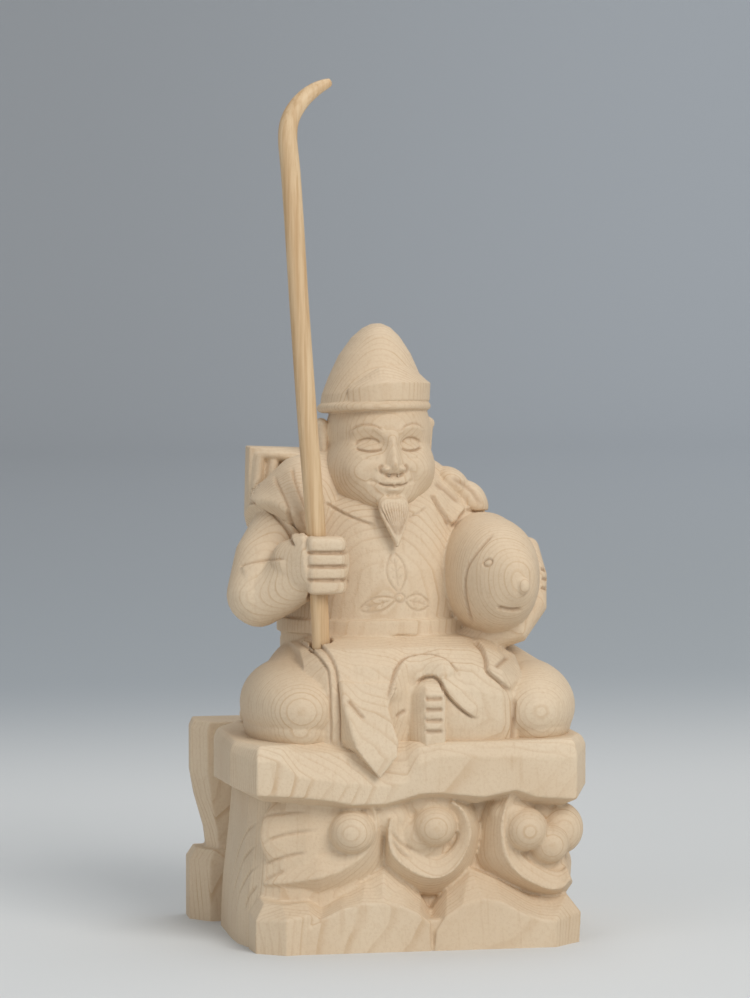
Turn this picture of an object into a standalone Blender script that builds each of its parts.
"""A seated fisherman deity carved with its wave-washed rock from one block of pale wood, and its loose rod.

+Z is up, the figure faces -Y, and the origin is at the middle of the rock's flat underside. The forms
are worked as clay in millimetres, each one a closed shell, then drawn into one skin and scaled to metres.
"""

import math

import bmesh
import bpy
import numpy as np
from mathutils import Matrix, Vector

MM = 0.001

# Rock: its forms are laid out on a grid of 77 steps across, 67 deep and 49 high
PLINTH_WIDTH = 77.0
PLINTH_DEPTH = 67.0
PLINTH_HEIGHT = 49.0
SLAB_THICKNESS = 13.0
CURL_RADIUS = 5.2
ROCK_GRID = (77.0, 67.0, 49.0)

# Figure: its forms are laid out on a grid of 97 steps in its height, which starts on top of the rock
FIGURE_HEIGHT = 97.0
FIGURE_STEPS = 97.0
HEAD_TURN = 5.0
HEAD_LEAN = 5.0
TEMPLE = (-3.0, -1.0, 64.0)

# Rod
ROD_DIAMETER = 4.6
ROD_LENGTH = 133.0
ROD_CLEARANCE = 0.35
SOCKET_DEPTH = 2.5
LAP_AT_ROD = (-20.2, -18.5, 23.5)
FIST_TOP = 49.0
ROD_SIDES = 20

# Skin
CLAY_VOXEL = 0.9
CARVING_TRIANGLES = 8700

WOOD = (0.72, 0.58, 0.42, 1.0)
ROD_WOOD = (0.62, 0.43, 0.25, 1.0)

STEP = FIGURE_HEIGHT / FIGURE_STEPS
TURN_UP = (0, 0, 1)
TURN_BACK = (0, 1, 0)


def grid(x, y, z):
    """A point of the figure's grid as a point of the block."""
    return Vector((x * STEP, y * STEP, PLINTH_HEIGHT + z * STEP))


def rock(x, y, z):
    """A point of the rock's grid as a point of the block."""
    across, deep, high = ROCK_GRID
    return Vector((x * PLINTH_WIDTH / across, y * PLINTH_DEPTH / deep, z * PLINTH_HEIGHT / high))


# Clay shapes: each adds one closed shell


def add_ball(clay, centre, radii, turn=(0, 0, 0), levels=3):
    """An ellipsoid, turned by degrees about X, Y and Z."""
    made = bmesh.ops.create_icosphere(clay, subdivisions=levels, radius=1.0)["verts"]
    place = Matrix.Translation(centre)
    for angle, axis in zip(turn, "XYZ"):
        place = place @ Matrix.Rotation(math.radians(angle), 4, axis)
    bmesh.ops.transform(clay, matrix=place @ Matrix.Diagonal((*radii, 1)), verts=made)


def add_loft(clay, sections):
    """A solid through rings of points, all with the same count, closed at both ends."""
    rings = [[clay.verts.new(p) for p in section] for section in sections]
    count = len(rings[0])
    made = [clay.faces.new(rings[0][::-1]), clay.faces.new(rings[-1])]
    for low, high in zip(rings, rings[1:]):
        for i in range(count):
            j = (i + 1) % count
            made.append(clay.faces.new((low[i], low[j], high[j], high[i])))
    return made


def ring_points(centre, along, up, radii, sides, square):
    """A ring square to along; square above 2 bulges it towards a rounded box."""
    along = along.normalized()
    side = up.cross(along).normalized()
    lift = along.cross(side)
    points = []
    for k in range(sides):
        c = math.cos(2 * math.pi * k / sides)
        s = math.sin(2 * math.pi * k / sides)
        reach = (abs(c) ** square + abs(s) ** square) ** (-1 / square)
        points.append(centre + side * (c * reach * radii[0]) + lift * (s * reach * radii[1]))
    return points


def add_limb(clay, path, radii, up=TURN_UP, sides=24, round_ends=(True, True), square=2.0):
    """A tube through path with a (sideways, upwards) radius pair at each point."""
    centres = [Vector(p) for p in path]
    pairs = [(r, r) if isinstance(r, (int, float)) else r for r in radii]
    last = len(centres) - 1
    alongs = [centres[min(i + 1, last)] - centres[max(i - 1, 0)] for i in range(last + 1)]
    rows = list(zip(centres, alongs, pairs))
    for end in (0, 1):
        if round_ends[end]:
            centre, along, (a, b) = rows[-end]
            out = along.normalized() * (min(a, b) if end else -min(a, b))
            caps = []
            for angle in (25, 50, 72, 86):
                c = math.cos(math.radians(angle))
                caps.append((centre + out * math.sin(math.radians(angle)), along, (a * c, b * c)))
            rows = rows + caps if end else caps[::-1] + rows
    up = Vector(up)
    add_loft(clay, [ring_points(c, along, up, pair, sides, square) for c, along, pair in rows])


def add_prism(clay, outline, near, far, chamfer=0.0):
    """An outline of (x, z) points seen from the front, from y = near to y = far, its edges chamfered."""
    front = [Vector((x, near, z)) for x, z in outline]
    back = [Vector((x, far, z)) for x, z in outline]
    made = add_loft(clay, [front, back])
    if chamfer:
        edges = list({e for f in made for e in f.edges})
        bmesh.ops.bevel(clay, geom=edges, offset=chamfer, affect="EDGES", segments=1, profile=0.5)


def arc(centre, radius, start, end, count):
    """Points of an arc seen from the front, as (x, z), by degrees anticlockwise from the right."""
    turns = [math.radians(start + (end - start) * k / (count - 1)) for k in range(count)]
    return [(centre[0] + radius * math.cos(t), centre[1] + radius * math.sin(t)) for t in turns]


# Rock


def build_core(clay):
    """The mass behind the waves, with the hollow cups that the curls sit in."""
    foot = [(-34, -26.4), (34, -26.4), (37, -8), (36, 22), (20, 31), (-24, 31), (-35, 14)]
    add_loft(clay, [[rock(x, y, -3) for x, y in foot], [rock(0.98 * x, 0.99 * y, 41) for x, y in foot]])
    for x, z, wide, high in ((-17, 27, 11, 9), (3.6, 27, 11, 9), (27, 26, 10, 11), (14, 22, 6, 13)):
        add_ball(clay, rock(x, -24.4, z), (wide, 4.6, high))


def build_slab(clay):
    """The faceted ledge under the figure, with a dipping underside."""
    bottom = 49 - SLAB_THICKNESS * ROCK_GRID[2] / PLINTH_HEIGHT
    plan = [
        (-37.7, -33), (-22, -33.4), (-7, -31.6), (6, -33), (22, -33.6), (38.8, -32.6), (43.2, -22), (42.6, 4),
        (38, 24), (16, 31), (-14, 31), (-32, 24), (-41, 8), (-42, -20),
    ]
    sag = [0.6, -0.6, -2.4, -1.6, -2.6, -1.0, 0, 0, 0, 0, 0, 0, 1.5, 2]
    dip = [0, -0.4, -1.4, -0.8, -0.6, -0.2, 0, 0, 0, 0, 0, 0, 0, 0]
    levels = []
    for inset, high in ((0.95, None), (1.0, None), (1.0, 45.8), (0.955, 49)):
        ring = []
        for (x, y), low, dent in zip(plan, sag, dip):
            z = high + dent if high else bottom + low + (0 if inset < 1 else 2.2)
            ring.append(rock(x * inset, y * inset, min(z, 49)))
        levels.append(ring)
    add_loft(clay, levels)


def add_wave(clay, line, thick, near=-26.8):
    """A rolled lip of water along a line seen from the front."""
    path = [rock(x, near, z) for x, z in line]
    radii = [(t, 5.0) for t in thick]
    add_limb(clay, path, radii, up=TURN_BACK, sides=20)


def build_left_wave(clay):
    """The swell that rises from the left side, rolls over a lip and runs into the first curl."""
    plan = [(-40, 12), (-40.4, -6), (-39, -20), (-34, -27), (-25, -29.6), (-14, -29), (-10, -18), (-14, 12)]
    levels = []
    for z, shrink in ((-3, 1.0), (8, 0.995), (18, 0.975), (27, 0.945), (33, 0.92), (39, 0.9)):
        levels.append([rock(x * shrink, y * shrink, z) for x, y in plan])
    add_loft(clay, levels)
    lip = [(-37.5, 10), (-36.6, 15), (-28, 18.2), (-18.5, 19), (-12.4, 22.5), (-9.4, 28), (-10.5, 34)]
    back = [(-36, 22), (-34, 28), (-27, 30), (-19, 29), (-15, 30), (-12.4, 32), (-12, 35)]
    ridge = [rock(x, -30.4 + 0.2 * abs(x + 20) / 4, z) for x, z in lip]
    under = [rock(x, -26, z - 4) for x, z in lip]
    slope = [rock(x, -27.2, z) for x, z in back]
    deep = [rock(x, -20, z) for x, z in back]
    add_loft(clay, [[a, b, c, d] for a, b, c, d in zip(under, ridge, slope, deep)])


def build_waves(clay):
    """The two middle swells, their curled tips, and the two humps of water in front."""
    add_wave(clay, [(-6.4, 29), (-4.8, 24), (-1, 20.4), (4, 19.2), (9, 21.4), (11.4, 26), (10, 31.5), (5, 35)],
             (1.8, 2.6, 3.4, 3.8, 3.6, 3, 2.4, 2))
    add_wave(clay, [(23, 34), (20.6, 30.5), (20.2, 26), (22.4, 21.6), (26.4, 18.4), (31.6, 16.4), (37, 15.6)],
             (2.2, 2.6, 3, 3.4, 3.6, 3.4, 2.6))
    for x, y, z, share in ((-15.8, -29.4, 28.6, 1.0), (3.4, -29.0, 28.4, 1.04), (26.1, -29.2, 27.2, 0.93)):
        add_ball(clay, rock(x, y, z), [CURL_RADIUS * share] * 3)
    for x, y, z, share in ((33.0, -26.6, 24.6, 0.93), (37.2, -19, 25.4, 0.96), (37.4, -5, 27, 1.1)):
        add_ball(clay, rock(x, y, z), [CURL_RADIUS * share] * 3)
    left_hump = [(-25, -3), (-24.2, 8), (-19.6, 13.8), (-12.4, 18.3), (-5.3, 16), (1.2, 10.5), (3.6, 6), (3.9, -3)]
    right_hump = [(3.4, -3), (3.5, 6), (8.2, 12.4), (15, 17.8), (20, 17.2), (27, 14.4), (34, 12), (38.6, 9), (38.8, -3)]
    for outline in (left_hump, right_hump):
        middle = (outline[0][0] + outline[-1][0]) / 2
        cut = [rock(middle + (x - middle) * 0.93, -33.8, z - 3.4) for x, z in outline]
        full = [rock(x, -29.8, z) for x, z in outline]
        deep = [rock(x, -20, z + 1.5) for x, z in outline]
        add_loft(clay, [cut, full, deep])
    corner = [(-39.2, -3), (-39.6, 9.5), (-36.6, 13.5), (-26.2, 13.2), (-23.4, 9), (-25.4, -3)]
    add_prism(clay, [tuple(rock(x, 0, z).xz) for x, z in corner], rock(0, -33.6, 0).y, rock(0, -18, 0).y, 1.0)


def build_right_side(clay):
    """The right side's plainer swell under its two curls."""
    path = [rock(36, -26, 13.6), rock(37.6, -14, 16.5), rock(37.6, -2, 17.6), rock(35.5, 10, 15)]
    add_limb(clay, path, [(3.6, 4.2), (4.2, 4.6), (4.2, 4.8), (3.8, 4.6)])
    foot = [(20, -24), (38.4, -30), (39, -6), (38, 18), (22, 26)]
    add_loft(clay, [[rock(x, y, -3) for x, y in foot], [rock(x * 0.97, y * 0.97, 10) for x, y in foot]])


def build_rear_rock(clay):
    """The two-tiered boulder behind, which reaches out past the left side, and its plainer neighbours."""
    low = [(-45, 25), (-40.5, 19.6), (-28, 19), (-24, 33.2), (-44.6, 33.2)]
    levels = [[rock(x, y, -3) for x, y in low], [rock(x, y, 14.6) for x, y in low]]
    levels.append([rock(-34 + (x + 34) * 0.84, 26 + (y - 26) * 0.86, 17.4) for x, y in low])
    add_loft(clay, levels)
    high = [(-44.6, 25), (-41, 20), (-28, 19.6), (-22, 33), (-43.6, 33)]
    levels = []
    for z, size in ((15, 0.62), (22, 0.7), (30, 0.9), (36, 1.0), (46.6, 1.0), (48.6, 0.92)):
        levels.append([rock(-33 + (x + 33) * size, 26 + (y - 26) * min(1, size + 0.12), z) for x, y in high])
    add_loft(clay, levels)
    back = (
        ((-26, -4), 17, 33.4, 0, 19), ((-6, 14), 18, 33.4, 0, 26), ((12, 36), 17, 33, 0, 17),
        ((-24, -6), 18, 33, 18, 41), ((-8, 12), 18, 32.6, 22, 46), ((10, 34), 16, 32, 15, 39),
    )
    for (x0, x1), y0, y1, z0, z1 in back:
        outline = [(x0, z0 - 3), (x0 - 0.6, z1 - 3), (x0 + 2.5, z1), (x1 - 2.5, z1 - 1), (x1, z1 - 4), (x1 - 0.8, z0 - 3)]
        points = [tuple(rock(x, 0, z).xz) for x, z in outline]
        add_prism(clay, points, rock(0, y0, 0).y, rock(0, y1, 0).y, 1.3)


# Figure


def build_legs(clay):
    """Crossed legs under a robe: two full knees, the lap between them and the seat behind."""
    for x, wide, turn, high in ((-26.2, 11.2, 1, 17.6), (31.0, 10.8, -1, 16.2)):
        path = [grid(x, -9, -3), grid(x, -9.4, 5), grid(x, -9.2, high - 7.6), grid(x + turn * 0.6, -8.6, high - 3), grid(x + turn * 1.4, -7.6, high)]
        radii = [(wide * 0.95, 19.6), (wide, 21), (wide * 0.97, 20.6), (wide * 0.8, 18), (wide * 0.55, 14)]
        add_limb(clay, path, radii, up=TURN_BACK, sides=32, square=2.2, round_ends=(False, True))
    section = [(-29.4, -2), (-30.6, 6), (-30.4, 12), (-28.6, 17.6), (-24.8, 21.4), (-19, 23.5), (-10, 24), (10, 24.2), (10, -2)]
    stations = []
    for x, near, low in ((-25, 0.86, 2.8), (-20, 0.95, 0.3), (-12, 0.98, 0), (2, 1.0, 0), (14, 1.0, 0.2), (22, 0.98, 2.0), (28, 0.9, 5)):
        stations.append([grid(x, y * near if y < 0 else y, z - low if z > 0 else z) for y, z in section])
    add_loft(clay, stations)
    add_ball(clay, grid(-1.5, 11, 8.5), (28.5, 18.5, 15))
    add_ball(clay, grid(-1, 15, 2), (33, 16, 9))


def build_torso(clay):
    """The body, full in front, with its belt."""
    heights = (18, 24, 31, 38, 45, 52, 58, 64)
    wide = (23.6, 24.0, 24.2, 23.8, 22.6, 20.6, 17, 11)
    deep = (18.4, 19.4, 19.8, 19.4, 18.0, 16.0, 13, 9)
    path = [grid(-2, 2 + 0.06 * (z - 18), z) for z in heights]
    add_limb(clay, path, [(a * STEP, b * STEP) for a, b in zip(wide, deep)], up=TURN_BACK, sides=36)
    belt = [grid(-2, 2.2, 23.4), grid(-2, 2.3, 26.8)]
    add_limb(clay, belt, [(24.9, 20.4), (24.9, 20.4)], up=TURN_BACK, sides=40, round_ends=(False, False))


def build_right_arm(clay):
    """The arm on the left of the view: a full sleeve cap, bare forearm and fist round the rod."""
    add_limb(clay, [grid(-14, 2, 57), grid(-22, 0.6, 54), grid(-26.6, -1, 48), grid(-29.6, -2.6, 41.5)],
             [(11, 8.5), (12, 10), (10.6, 9.4), (8.6, 8.6)], up=TURN_BACK)
    add_limb(clay, [grid(-27.4, -1.5, 48), grid(-31.6, -5, 38), grid(-34.4, -8.4, 31.6)],
             [(9, 8.4), (8.6, 8.0), (7.6, 7.2)], up=TURN_BACK)
    add_limb(clay, [grid(-33.8, -8.0, 31.8), grid(-29.5, -11.6, 35), grid(-25.0, -15.6, 38.4)],
             [(6.8, 6.8), (6.2, 6.4), (5.4, 6.4)])
    add_limb(clay, [grid(-22.8, -18.4, 36.6), grid(-22.6, -18.6, 46.2)], [(6.2, 5.8), (6.0, 5.8)], up=TURN_BACK, square=2.8)
    for k in range(4):
        z = 45.4 - 3.3 * k
        knuckles = [grid(-26.0, -21.6, z), grid(-21.0, -23.8, z), grid(-16.6, -22.2, z - 0.2), grid(-15.8, -18.2, z - 0.2)]
        add_limb(clay, knuckles, [(1.9, 1.7), (2.1, 1.78), (2.1, 1.78), (1.9, 1.7)], sides=16)


def build_left_shoulder(clay):
    """The arm on the right of the view: folded sleeve, knotted cord and the hand under the fish."""
    add_limb(clay, [grid(5, 3, 55.4), grid(11.2, 2, 52.4), grid(16.2, 2, 46.6), grid(19.2, 3, 41)],
             [(9.4, 8.5), (9.8, 9), (9.6, 8.6), (9, 8.4)], up=TURN_BACK)
    add_limb(clay, [grid(20, 4, 45), grid(25.4, 6, 36), grid(28.6, 4, 30)], [(8.4, 7.6), (7.6, 7), (6.6, 6.6)], up=TURN_BACK)
    add_limb(clay, [grid(31.6, -3, 40.5), grid(32.8, -7, 35), grid(31.4, -10.5, 29), grid(27.2, -12.5, 24.6),
                    grid(20, -13.5, 22.8), grid(13, -11, 22.4)],
             [(3.2, 5), (3.4, 7), (3.8, 8), (4.2, 8), (4, 8), (3.4, 7)], up=TURN_BACK)
    add_ball(clay, grid(12.2, 5.4, 61.6), (4.8, 5.2, 3.6), turn=(0, 20, 0))
    add_ball(clay, grid(16.4, 3.0, 57.4), (5.2, 5.8, 4.4), turn=(0, 38, 0))


def build_back_sleeve(clay):
    """The sleeve drawn back behind the right shoulder, and its fall down the back."""
    outline = [(-32.6, 67), (-33, 50), (-29, 42), (-18, 30), (-6, 28), (-4, 60), (-18, 66.4)]
    front = [grid(x, 8.5, z) for x, z in outline]
    middle = [grid(x, 14, z) for x, z in outline]
    back = [grid(x * 0.96, 18.5, z * 0.98) for x, z in outline]
    add_loft(clay, [front, middle, back])


def build_fish(clay):
    """The bream under the left arm, snout forwards, its tail behind the arm."""
    rows = (
        (-32.2, 27.0, 35.6, 1.4, 1.6), (-30.6, 26.6, 35.8, 3.4, 4.0), (-27.5, 25.4, 36.6, 6.2, 7.6),
        (-23, 23.8, 37.4, 8.8, 11.4), (-17.5, 22.4, 38.0, 10.8, 14.2), (-10.5, 21.8, 38.2, 11.4, 15.2),
        (-2, 22.4, 37.6, 10.4, 14.0), (7, 24.4, 36.6, 7.6, 10.4), (15, 26.6, 36.2, 4.4, 6.0), (20, 27.8, 36.4, 2.6, 4.2),
    )
    path = [grid(x, y, z) for y, x, z, _, _ in rows]
    add_limb(clay, path, [(a * STEP, b * STEP) for _, _, _, a, b in rows], sides=30)
    fin = [grid(27.6, 17, 34.4), grid(28.4, 27, 27.5), grid(28.8, 29, 29), grid(28.4, 24.5, 36.4),
           grid(28.8, 29, 43), grid(28.4, 27, 44.5), grid(27.6, 17, 38.6)]
    add_loft(clay, [[p - Vector((1.5, 0, 0)) for p in fin], [p + Vector((1.5, 0, 0)) for p in fin]])


def build_head(clay):
    """Head, face, ears, tuft of beard and folded cap, turned and leaned back a little."""
    clay.verts.ensure_lookup_table()
    before = len(clay.verts)
    add_ball(clay, grid(-3, 0.5, 70), (13.0, 13.6, 13.0))
    add_ball(clay, grid(-3, -2.4, 61.4), (13.4, 12.0, 11.4))
    add_ball(clay, grid(-3, -8.0, 56.0), (8.0, 6.0, 5.6))
    for side in (-1, 1):
        add_ball(clay, grid(-3 + side * 6.4, -9.2, 62.4), (4.6, 4.4, 4.0))
        add_limb(clay, [grid(-3 + side * 13.3, 1.2, 65.0), grid(-3 + side * 13.7, 0.6, 72.4)], [(1.6, 2.4), (1.9, 3.2)],
                 up=TURN_BACK, sides=16)
        add_ball(clay, grid(-3 + side * 1.8, -14.6, 62.0), (1.4, 1.5, 1.1))
        add_limb(clay, [grid(-3 + side * 2.0, -12.5, 70.2), grid(-3 + side * 5.4, -11.6, 71.2), grid(-3 + side * 8.4, -9.8, 70.2)],
                 [1.0, 1.0, 0.8], sides=12)
    add_limb(clay, [grid(-3, -12.4, 69.4), grid(-3, -14.0, 65.4), grid(-3, -15.4, 62.4)], [1.1, 1.4, 1.7], sides=16)
    add_limb(clay, [grid(-6.0, -12.8, 58.6), grid(-3, -14.3, 58.2), grid(0, -12.8, 58.6)], [0.6, 1.0, 0.6], sides=12)
    add_limb(clay, [grid(-5.0, -12.8, 56.4), grid(-3, -14.0, 55.9), grid(-1, -12.8, 56.4)], [0.6, 1.0, 0.6], sides=12)
    add_limb(clay, [grid(-3, -12.0, 54.6), grid(-3, -13.6, 50.6), grid(-3, -14.2, 47.0), grid(-3, -14.4, 44.6)],
             [(4.2, 2.5), (3.4, 2.3), (1.8, 1.8), (0.6, 1.0)], up=TURN_BACK, sides=20)
    build_cap(clay)
    clay.verts.ensure_lookup_table()
    turn = Matrix.Rotation(math.radians(HEAD_TURN), 3, "Z") @ Matrix.Rotation(math.radians(-HEAD_LEAN), 3, "X")
    bmesh.ops.rotate(clay, cent=grid(*TEMPLE), matrix=turn, verts=clay.verts[before:])


def build_cap(clay):
    """A folded court cap: corded rim, turned-up front band and a peaked crown that leans back."""
    rings = {
        "rim": ((12.6, 13.4, -3.2, 0.2, 73.4), (13.6, 14.4, -3.2, 0.2, 74.0), (14.2, 15.0, -3.2, 0.2, 75.0),
                (14.2, 15.0, -3.2, 0.2, 76.2), (13.6, 14.4, -3.2, 0.2, 77.2), (12.6, 13.4, -3.2, 0.2, 77.6)),
        "crown": ((13.2, 14.0, -3.4, 0.2, 75.4), (12.9, 13.4, -3.8, 0.4, 80), (10.9, 11.2, -4.4, 0.6, 84.4),
                  (8.5, 9.4, -4.0, 0.6, 89.8), (5.4, 7.0, -3.6, 0.6, 94.2), (3.2, 4.6, -3.5, 0.6, 96.4), (1.2, 2.0, -3.5, 0.6, 97.4)),
    }
    for sections in rings.values():
        lofted = []
        for wide, deep, x, y, z in sections:
            turns = [2 * math.pi * k / 28 for k in range(28)]
            lofted.append([grid(x + wide * math.cos(t), y + deep * math.sin(t), z) for t in turns])
        add_loft(clay, lofted)
    slices = []
    for k in range(17):
        share = k / 16
        t = math.radians(-134 + 176 * share)
        swell = min(1.0, 0.25 + 3.2 * min(share, 1 - share))
        profile = ((9, 75.6), (13.0 + 1.0 * swell, 75.8), (13.0 + 1.0 * swell, 79.4 + 2.6 * swell),
                   (12.0 - 0.8 * swell, 81 + 3.8 * swell), (9, 81 + 3.8 * swell))
        slices.append([grid(-3.2 + r * math.cos(t), 0.2 + (r + 0.8) * math.sin(t), z) for r, z in profile])
    add_loft(clay, slices)


def build_foot_and_flap(clay):
    """The toes that show under the hem, and the robe's tip that hangs over the edge of the rock."""
    plan = [(-1.0, -26.5), (1.6, -31.6), (7.0, -31.6), (8.2, -25), (7, -16), (-1, -16)]
    levels = []
    for z, size in ((-2, 1.0), (1, 1.0), (10.4, 0.97), (12.6, 0.86), (13.6, 0.6)):
        levels.append([grid(3.4 + (x - 3.4) * size, -22 + (y + 22) * size, z) for x, y in plan])
    add_loft(clay, levels)
    edge = -PLINTH_DEPTH / 2
    outline = ((-17.4, 14), (-18.0, 8), (-18.2, 0.6), (-14, -3.6), (-9.2, -7.6), (-6.0, -3.8), (-3.6, 0.4), (-6.6, 8), (-5, 14))
    front = []
    back = []
    for x, z in outline:
        lean = min(1.0, max(0.0, (10 - z) / 13))
        fall = 0.34 * max(0.0, z - 8)
        front.append(Vector((x * STEP, (-31.4 + fall) * STEP + lean * (edge - 1.4 + 31.4 * STEP), PLINTH_HEIGHT + z * STEP)))
        back.append(Vector((x * STEP, -16 * STEP, PLINTH_HEIGHT + z * STEP)))
    add_loft(clay, [front, back])


# Skin


def skin(clay, name, collection):
    """Draws the clay's shells into one closed skin, smooths it and thins it."""
    bmesh.ops.recalc_face_normals(clay, faces=clay.faces)
    bmesh.ops.triangulate(clay, faces=clay.faces)
    mesh = bpy.data.meshes.new(name)
    clay.to_mesh(mesh)
    clay.free()
    piece = bpy.data.objects.new(name, mesh)
    collection.objects.link(piece)
    remesh = piece.modifiers.new("skin", "REMESH")
    remesh.mode = "VOXEL"
    remesh.voxel_size = CLAY_VOXEL
    smooth = piece.modifiers.new("soften", "SMOOTH")
    smooth.factor = 0.5
    smooth.iterations = 2
    bake(piece)
    return piece


def bake(piece):
    """Applies every modifier of a piece."""
    shaped = bpy.data.meshes.new_from_object(piece.evaluated_get(bpy.context.evaluated_depsgraph_get()))
    old = piece.data
    piece.modifiers.clear()
    piece.data = shaped
    shaped.name = piece.name
    bpy.data.meshes.remove(old)


def thin(piece, triangles):
    """Collapses the skin to a number of triangles, the head keeping more of its own."""
    mesh = piece.data
    co = np.empty(len(mesh.vertices) * 3)
    mesh.vertices.foreach_get("co", co)
    co = co.reshape(-1, 3)
    head = np.array(grid(*TEMPLE))
    near = np.clip(1.6 - np.linalg.norm(co - head, axis=1) / (22 * STEP), 0, 1)
    group = piece.vertex_groups.new(name="plain")
    for i, share in enumerate(near):
        group.add([i], 1 - 0.75 * float(share), "REPLACE")
    count = sum(len(p.vertices) - 2 for p in mesh.polygons)
    collapse = piece.modifiers.new("thin", "DECIMATE")
    collapse.ratio = triangles / count
    collapse.vertex_group = group.name
    collapse.vertex_group_factor = 1.0
    bake(piece)
    piece.vertex_groups.clear()


def level_underside(piece):
    """Cuts the underside flat on the ground."""
    body = bmesh.new()
    body.from_mesh(piece.data)
    everything = list(body.verts) + list(body.edges) + list(body.faces)
    cut = bmesh.ops.bisect_plane(body, geom=everything, plane_co=(0, 0, 0), plane_no=(0, 0, -1), clear_outer=True)
    rim = [g for g in cut["geom_cut"] if isinstance(g, bmesh.types.BMEdge)]
    bmesh.ops.holes_fill(body, edges=rim, sides=0)
    bmesh.ops.triangulate(body, faces=body.faces)
    bmesh.ops.recalc_face_normals(body, faces=body.faces)
    body.to_mesh(piece.data)
    body.free()


# Rod


def rod_line():
    """The rod's line as (point, radius) rows: straight through the fist, bent and pared at its tip."""
    foot = grid(*LAP_AT_ROD) - Vector((0, 0, SOCKET_DEPTH - 0.3))
    r = ROD_DIAMETER / 2
    rows = (
        (0.0, 0.0, 0.0, 0.86), (0.006, 0.0, 0.0, 0.92), (0.10, -0.004, -0.001, 0.94), (0.20, -0.0085, -0.002, 1.0),
        (0.40, -0.024, -0.002, 1.02), (0.60, -0.0375, 0.002, 1.0), (0.75, -0.046, 0.006, 1.0), (0.84, -0.0515, 0.010, 1.0),
        (0.90, -0.0560, 0.014, 0.98), (0.935, -0.0500, 0.018, 0.94), (0.965, -0.0300, 0.022, 0.86),
        (0.985, -0.0050, 0.026, 0.72), (0.998, 0.0200, 0.030, 0.46), (1.0, 0.0245, 0.0305, 0.2),
    )
    return [(foot + Vector((x, y, z)) * ROD_LENGTH, share * r) for z, x, y, share in rows]


def build_rod(collection):
    """The loose rod."""
    stick = bmesh.new()
    rows = rod_line()
    add_limb(stick, [p for p, _ in rows], [r for _, r in rows], up=TURN_BACK, sides=ROD_SIDES, round_ends=(False, False))
    bmesh.ops.recalc_face_normals(stick, faces=stick.faces)
    mesh = bpy.data.meshes.new("fishing_rod")
    stick.to_mesh(mesh)
    stick.free()
    rod = bpy.data.objects.new("fishing_rod", mesh)
    collection.objects.link(rod)
    return rod


def bore_for_rod(carving, cutters):
    """Bores the fist and the shallow socket in the lap along the straight foot of the rod."""
    rows = rod_line()
    low = rows[0][0]
    along = (rows[3][0] - low).normalized()
    start = low - along * 0.3
    end = low + along * (grid(0, 0, FIST_TOP + 4).z - low.z)
    drill = bmesh.new()
    radius = ROD_DIAMETER / 2 + ROD_CLEARANCE
    add_loft(drill, [ring_points(p, along, Vector(TURN_BACK), (radius, radius), 24, 2.0) for p in (start, end)])
    bmesh.ops.recalc_face_normals(drill, faces=drill.faces)
    mesh = bpy.data.meshes.new("rod_bore")
    drill.to_mesh(mesh)
    drill.free()
    cutter = bpy.data.objects.new("rod_bore", mesh)
    cutter.hide_render = True
    cutter.display_type = "WIRE"
    cutters.objects.link(cutter)
    bore = carving.modifiers.new("rod_bore", "BOOLEAN")
    bore.operation = "DIFFERENCE"
    bore.solver = "EXACT"
    bore.object = cutter
    return cutter


def to_metres(piece):
    """Scales a finished mesh from millimetres."""
    piece.data.transform(Matrix.Scale(MM, 4))


def wood(name, colour, roughness):
    """A plain wood material."""
    material = bpy.data.materials.new(name)
    material.use_nodes = True
    shader = material.node_tree.nodes["Principled BSDF"]
    shader.inputs["Base Color"].default_value = colour
    shader.inputs["Roughness"].default_value = roughness
    return material


def new_collection(name):
    """A collection of the scene."""
    made = bpy.data.collections.new(name)
    bpy.context.scene.collection.children.link(made)
    return made


def main():
    for old in list(bpy.data.objects):
        bpy.data.objects.remove(old, do_unlink=True)
    figure = new_collection("ebisu_figure")
    cutters = new_collection("cutters")
    clay = bmesh.new()
    build_core(clay)
    build_slab(clay)
    build_left_wave(clay)
    build_waves(clay)
    build_right_side(clay)
    build_rear_rock(clay)
    build_legs(clay)
    build_torso(clay)
    build_right_arm(clay)
    build_left_shoulder(clay)
    build_back_sleeve(clay)
    build_fish(clay)
    build_head(clay)
    build_foot_and_flap(clay)
    carving = skin(clay, "carved_figure", figure)
    thin(carving, CARVING_TRIANGLES)
    level_underside(carving)
    rod = build_rod(figure)
    cutter = bore_for_rod(carving, cutters)
    for piece in (carving, rod, cutter):
        to_metres(piece)
    carving.data.materials.append(wood("carved_wood", WOOD, 0.62))
    rod.data.materials.append(wood("rod_wood", ROD_WOOD, 0.5))


if __name__ == "__main__":
    main()
